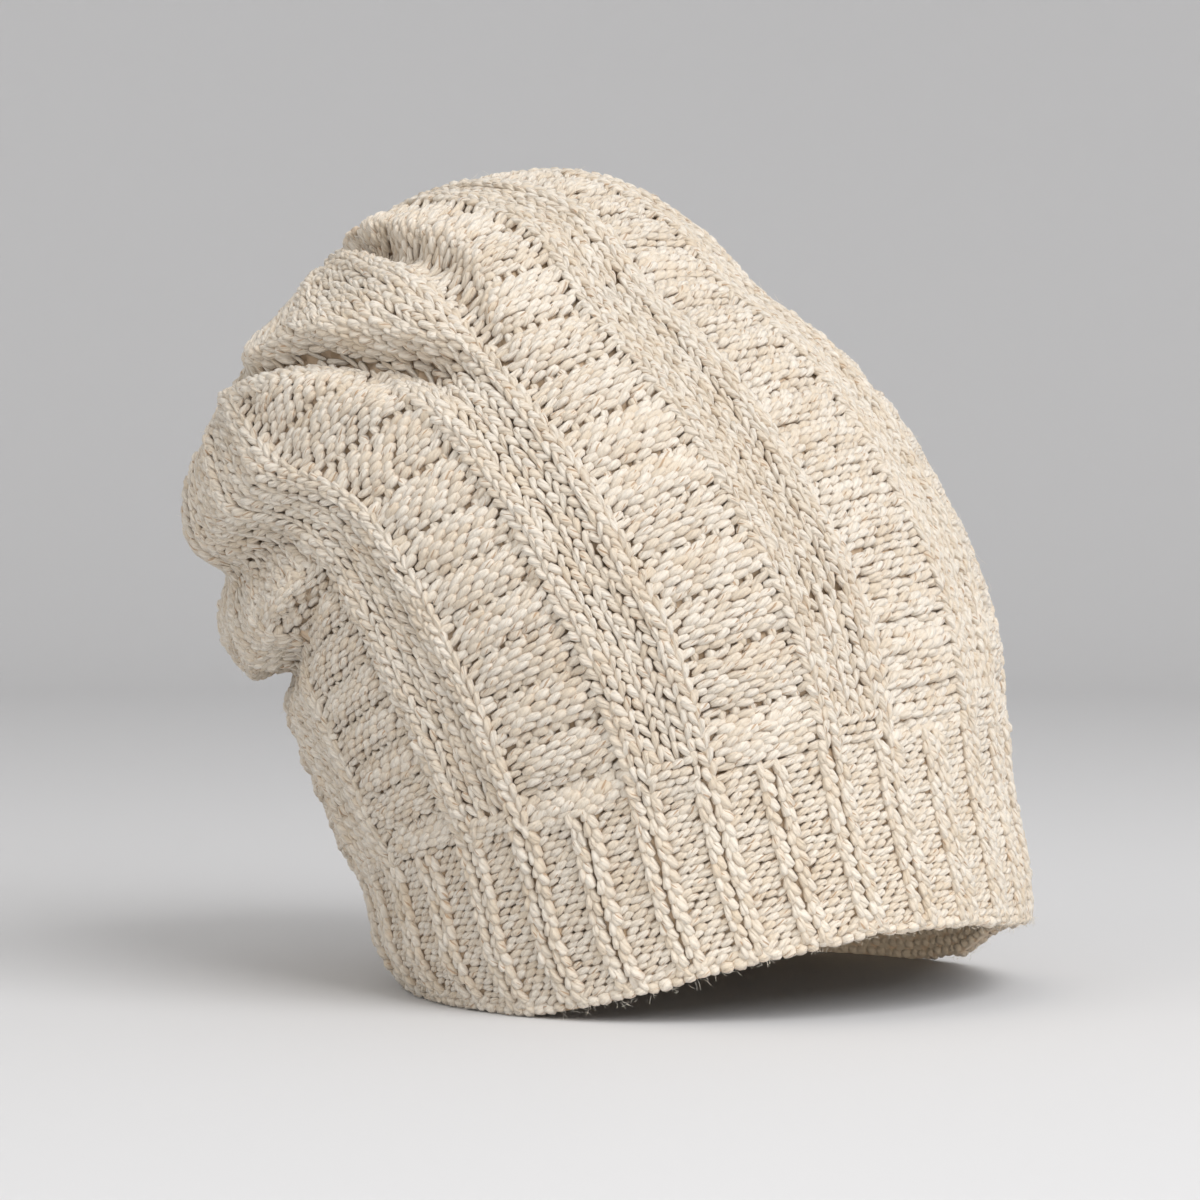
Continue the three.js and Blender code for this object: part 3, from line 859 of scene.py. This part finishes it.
class Nodes:
    """Short calls for building a node tree."""

    def __init__(self, name):
        self.material = bpy.data.materials.new(name)
        self.material.use_nodes = True
        self.tree = self.material.node_tree
        self.shader = next(n for n in self.tree.nodes if n.type == "BSDF_PRINCIPLED")

    def add(self, kind, **inputs):
        node = self.tree.nodes.new(kind)
        for name, value in inputs.items():
            if hasattr(node, name):
                setattr(node, name, value)
        return node

    def link(self, output, target):
        self.tree.links.new(output, target)

    def math(self, operation, a, b=None, clamp=False):
        node = self.add("ShaderNodeMath", operation=operation, use_clamp=clamp)
        for i, value in enumerate((a, b)):
            if value is None:
                continue
            if isinstance(value, (int, float)):
                node.inputs[i].default_value = value
            else:
                self.link(value, node.inputs[i])
        return node.outputs[0]

    def mix(self, share, a, b):
        node = self.add("ShaderNodeMix", data_type="RGBA")
        for name, value in ((0, share), (6, a), (7, b)):
            if isinstance(value, (int, float, tuple)):
                node.inputs[name].default_value = value
            else:
                self.link(value, node.inputs[name])
        return node.outputs[2]

    def noise(self, vector, scale, detail=2.0, roughness=0.5):
        node = self.add("ShaderNodeTexNoise")
        node.inputs["Scale"].default_value = scale
        node.inputs["Detail"].default_value = detail
        node.inputs["Roughness"].default_value = roughness
        self.link(vector, node.inputs["Vector"])
        return node.outputs["Fac"]

    def attribute(self, name):
        return self.add("ShaderNodeAttribute", attribute_name=name).outputs["Fac"]

    def place(self):
        return self.add("ShaderNodeTexCoord").outputs["Object"]

    def ramp(self, value, low, high):
        node = self.add("ShaderNodeMapRange", clamp=True)
        node.inputs["From Min"].default_value = low
        node.inputs["From Max"].default_value = high
        self.link(value, node.inputs["Value"])
        return node.outputs[0]

    def bump(self, height, strength, distance):
        node = self.add("ShaderNodeBump")
        node.inputs["Strength"].default_value = strength
        node.inputs["Distance"].default_value = distance
        self.link(height, node.inputs["Height"])
        self.link(node.outputs[0], self.shader.inputs["Normal"])

    def finish(self, **values):
        """Constant values of the shader by name; underscores stand for spaces."""
        for name, value in values.items():
            self.shader.inputs[name.replace("_", " ")].default_value = value
        return self.material


def yarn_material():
    """Cream plied yarn: ply lines, fine fibres, uneven cream tones, beige flecks, and warm shade painted
    on the grains' undersides and in the grooves between the plies.
    """
    n = Nodes("cream_yarn")
    uv = n.add("ShaderNodeUVMap", uv_map="yarn")
    split = n.add("ShaderNodeSeparateXYZ")
    n.link(uv.outputs[0], split.inputs[0])
    u, v = split.outputs[0], split.outputs[1]
    turn = n.math("ADD", n.math("MULTIPLY", v, PLIES), n.math("MULTIPLY", u, TWIST))
    ply = n.math("ABSOLUTE", n.math("SINE", n.math("MULTIPLY", turn, math.pi)))
    fibre_place = n.add("ShaderNodeCombineXYZ")
    fibre_turn = n.math("ADD", n.math("MULTIPLY", v, FIBRES_ROUND), n.math("MULTIPLY", u, FIBRE_SLANT))
    n.link(n.math("MULTIPLY", u, FIBRE_STRETCH), fibre_place.inputs[0])
    n.link(fibre_turn, fibre_place.inputs[1])
    fibre = n.noise(fibre_place.outputs[0], 2.2, 3.0, 0.65)
    flecks = n.noise(fibre_place.outputs[0], 0.9, 1.0)
    patches = n.noise(n.place(), 55.0, 2.0)
    tone = n.attribute("tone")
    depth = n.attribute("depth")

    uneven = n.math("ADD", n.math("MULTIPLY", tone, 0.5), n.math("MULTIPLY", patches, 0.5))
    colour = n.mix(n.ramp(uneven, 0.35, 0.85), YARN_LIGHT, YARN_DARK)
    colour = n.mix(n.math("MULTIPLY", n.ramp(fibre, 0.42, 0.68), 0.5), colour, FIBRE_SHADE)
    colour = n.mix(n.math("MULTIPLY", n.ramp(flecks, 0.65, 0.70), 0.75), colour, FLECK)
    # Painted shade: the grooves between the plies are darkened towards the warm gap shade.
    ply_groove_shade = n.math("MULTIPLY", n.ramp(ply, 0.40, 0.0), 0.22)
    # Painted shade: the grains' undersides, where they sink into the gaps, are mixed towards the warm gap
    # shade, together with the ply grooves.
    painted_gap_shade = n.math("ADD", n.ramp(depth, 0.12, 0.85), ply_groove_shade)
    colour = n.mix(n.math("MULTIPLY", painted_gap_shade, 0.6, clamp=True), colour, PAINTED_GAP_SHADE)
    n.link(colour, n.shader.inputs["Base Color"])
    n.bump(n.math("ADD", n.math("MULTIPLY", ply, 0.5), n.math("MULTIPLY", fibre, 0.6)), 1.0, 0.0008)
    return n.finish(Roughness=0.88, Specular_IOR_Level=0.25, Sheen_Weight=0.35, Sheen_Roughness=0.5)


def backing_material():
    """What shows through the gaps: yarn in deep shade."""
    n = Nodes("yarn_in_shade")
    patches = n.ramp(n.noise(n.place(), 260.0, 2.0), 0.40, 0.55)
    n.link(n.mix(patches, GAP_DARK, BACKING_LIGHT), n.shader.inputs["Base Color"])
    return n.finish(Roughness=0.95, Specular_IOR_Level=0.1)


def lining_material():
    """The inside of the knitting: purl bumps in the same yarn, with warm shade painted where they are
    sunk.
    """
    n = Nodes("cream_yarn_inside")
    place = n.place()
    fine = n.noise(place, 900.0, 3.0)
    coarse = n.noise(place, 240.0, 2.0)
    # Painted shade: the sunk places, between the inner bumps and on the grains' undersides, are mixed
    # towards the warm gap shade.
    sunk = n.math("MULTIPLY", n.ramp(n.attribute("depth"), 0.2, 1.0), 0.8)
    colour = n.mix(sunk, n.mix(coarse, YARN_DARK, FIBRE_SHADE), PAINTED_GAP_SHADE)
    n.link(colour, n.shader.inputs["Base Color"])
    n.bump(n.math("ADD", fine, coarse), 0.8, 0.0006)
    return n.finish(Roughness=0.92, Specular_IOR_Level=0.2, Sheen_Weight=0.3)


def hair_material():
    """Single pale wool hairs that let light through."""
    return Nodes("cream_hair").finish(Base_Color=HAIR, Roughness=0.6, Transmission_Weight=0.5, IOR=1.1)


def floor_material():
    return Nodes("pale_floor").finish(Base_Color=FLOOR, Roughness=0.9, Specular_IOR_Level=0.1)


# Pieces

def add_object(name, mesh, *materials):
    piece = bpy.data.objects.new(name, mesh)
    bpy.context.scene.collection.objects.link(piece)
    for material in materials:
        mesh.materials.append(material)
    return piece


def add_yarn(name, mesh, material):
    piece = add_object(name, mesh, material)
    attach(piece, "root")
    return piece


def revolved(points, closed, inner_from):
    """A mesh from rings of points, with the index of each ring's material."""
    rings, around = points.shape[:2]
    index = np.arange(rings * around).reshape(rings, around)
    faces = []
    last = rings if closed else rings - 1
    for i in range(last):
        a, b = index[i], index[(i + 1) % rings]
        faces.append(np.stack([a, np.roll(a, -1), np.roll(b, -1), b], -1))
    mesh = bpy.data.meshes.new("rings")
    mesh.from_pydata([tuple(p) for p in points.reshape(-1, 3)], [], np.concatenate(faces).tolist())
    materials = np.repeat([0 if i < inner_from else 1 for i in range(last)], around)
    mesh.polygons.foreach_set("material_index", materials.astype(np.int32))
    mesh.polygons.foreach_set("use_smooth", np.ones(len(materials), bool))
    return mesh


WALES_A_FACE = 0.5
LOWEST = 0.3


def shell_mesh(low, high, outer_steps, inner_steps):
    """The wall between two rows: a bed just under the stitches and the purl side inside."""
    wales = np.arange(0, WALES, WALES_A_FACE)
    outer_rows = np.linspace(low, high, outer_steps)
    inner_rows = np.linspace(high, low, inner_steps)
    rings, depths = [], []
    for row in outer_rows:
        rows = np.full(len(wales), row)
        bed = relief(wales, rows) - BED_DEPTH - KNIT_BED * knit_share(wales, rows)
        bed = np.maximum(bed, -BED_LOWEST)
        rings.append(offset_point(folded, wales, rows, bed))
        depths.append(np.ones(len(wales)))
    for k, row in enumerate(inner_rows):
        rows = np.full(len(wales), row)
        bump = (k + np.floor(wales)) % 2
        rings.append(offset_point(inner_form, wales, rows, INNER_BED - WALL - INNER_BUMP * bump))
        # Depth is 1 between the inner bumps, where the lining paints shade.
        depths.append(1.0 - bump)
    points = np.stack(rings)
    points[..., 2] = np.maximum(points[..., 2], LOWEST)
    points[..., 0] -= BODY_CENTRE[0]
    points[..., 1] -= BODY_CENTRE[1]
    mesh = revolved(points * MM, True, outer_steps)
    depth = mesh.attributes.new("depth", "FLOAT", "POINT")
    depth.data.foreach_set("value", np.concatenate(depths).astype(np.float32))
    return mesh


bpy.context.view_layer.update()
yarn = yarn_material()
backing = backing_material()
lining = lining_material()
hair = hair_material()

brim_wall = add_yarn("brim_wall", shell_mesh(0, BRIM_ROWS - SLIT_ROWS, 33, 17), backing)
brim_wall.data.materials.append(lining)
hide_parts("brim")
crown_wall = add_yarn("crown_wall", shell_mesh(BRIM_ROWS + SLIT_ROWS, TOP_ROW, 121, 31), backing)
crown_wall.data.materials.append(lining)
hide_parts("crown")

for panel in range(PANELS):
    band = unevenness(band_stitches(panel))
    add_yarn(f"crown_band_{panel + 1:02d}", yarn_mesh("band", band), yarn)
    welts = unevenness(panel_stitches(panel))
    add_yarn(f"crown_welts_{panel + 1:02d}", yarn_mesh("welts", welts), yarn)
add_yarn("brim_ribs", yarn_mesh("ribs", unevenness(rib_stitches())), yarn)
add_yarn("brim_valleys", yarn_mesh("valleys", unevenness(valley_stitches()), valley_floor), yarn)
add_yarn("cast_on_edge", yarn_mesh("cast_on", unevenness(cast_on_stitches())), yarn)
add_yarn("brim_inside", yarn_mesh("inside", unevenness(inside_stitches()), inside, -1), lining)
add_yarn("stray_fibres", yarn_mesh("fibres", stray_fibres(700, 900), beyond_edge), hair)


# Studio

FLOOR_RADIUS = 1.9
COVE_RADIUS = 0.9
COVE_STEPS = 12
WALL_TOP = 2.6
BOWL_SIDES = 96


def studio_bowl():
    """A pale floor that curves up into a wall all round."""
    profile = [(0.001, 0.0), (FLOOR_RADIUS / 2, 0.0), (FLOOR_RADIUS, 0.0)]
    for k in range(1, COVE_STEPS + 1):
        angle = k / COVE_STEPS * math.pi / 2
        profile.append((FLOOR_RADIUS + COVE_RADIUS * math.sin(angle), COVE_RADIUS * (1 - math.cos(angle))))
    profile.append((FLOOR_RADIUS + COVE_RADIUS, WALL_TOP))
    turns = np.linspace(0, 2 * math.pi, BOWL_SIDES, endpoint=False)
    rings = []
    for radius, height in profile:
        level = np.full(BOWL_SIDES, height)
        rings.append(np.stack([radius * np.cos(turns), radius * np.sin(turns), level], -1))
    mesh = revolved(np.stack(rings)[::-1], False, len(profile))
    bowl = add_object("studio_floor", mesh, floor_material())


def add_light(name, kind, place, target, power, colour, **settings):
    """A light at a place, aimed at a target."""
    data = bpy.data.lights.new(name, kind)
    data.energy = power
    data.color = colour
    for setting, value in settings.items():
        setattr(data, setting, value)
    light = bpy.data.objects.new(name, data)
    light.location = place
    light.rotation_mode = "QUATERNION"
    light.rotation_quaternion = (Vector(target) - Vector(place)).to_track_quat("-Z", "Y")
    bpy.context.scene.collection.objects.link(light)


HAT_MIDDLE = (0, 0, 0.11)
AREA_LIGHTS = records("name place target power colour size", [
    ("key", (1.0, -1.2, 1.4), HAT_MIDDLE, 35, (0.99, 0.99, 1), 1.5),
    ("fill", (-1.4, -1.0, 0.8), HAT_MIDDLE, 6.5, (1, 0.985, 0.96), 1.4),
    ("low_fill", (0.3, -1.3, 0.12), (0.03, 0, 0.03), 2, (1, 0.985, 0.96), 0.4),
])


def studio_lights():
    """Soft squares of light, and a narrow soft beam along the floor, in under the arched rim."""
    for row in AREA_LIGHTS:
        add_light(kind="AREA", shape="SQUARE", **row)
    add_light("arch_fill", "SPOT", (-0.15, -1.1, 0.03), (0.085, 0.03, 0.012), 7, (1, 0.93, 0.82),
              spot_size=math.radians(9), spot_blend=1, shadow_soft_size=0.02)


WORLD_COLOUR = (1, 0.985, 0.97, 1)
WORLD_STRENGTH = 0.65


def studio_world():
    world = bpy.data.worlds.new("studio")
    world.use_nodes = True
    background = world.node_tree.nodes["Background"]
    background.inputs["Color"].default_value = WORLD_COLOUR
    background.inputs["Strength"].default_value = WORLD_STRENGTH
    bpy.context.scene.world = world


CAMERA_PLACE = (-0.00197, -0.95217, 0.127)
CAMERA_DOWN = 0.99
LENS = 98.58
SENSOR = 36
NEAREST = 0.01
FARTHEST = 20


def photo_camera():
    data = bpy.data.cameras.new("photo")
    data.lens = LENS
    data.sensor_width = SENSOR
    data.clip_start = NEAREST
    data.clip_end = FARTHEST
    camera = bpy.data.objects.new("photo", data)
    camera.location = CAMERA_PLACE
    camera.rotation_euler = (math.radians(90 - CAMERA_DOWN), 0, 0)
    bpy.context.scene.collection.objects.link(camera)
    bpy.context.scene.camera = camera


studio_bowl()
studio_world()
studio_lights()
photo_camera()
bpy.context.scene.view_settings.view_transform = "Standard"
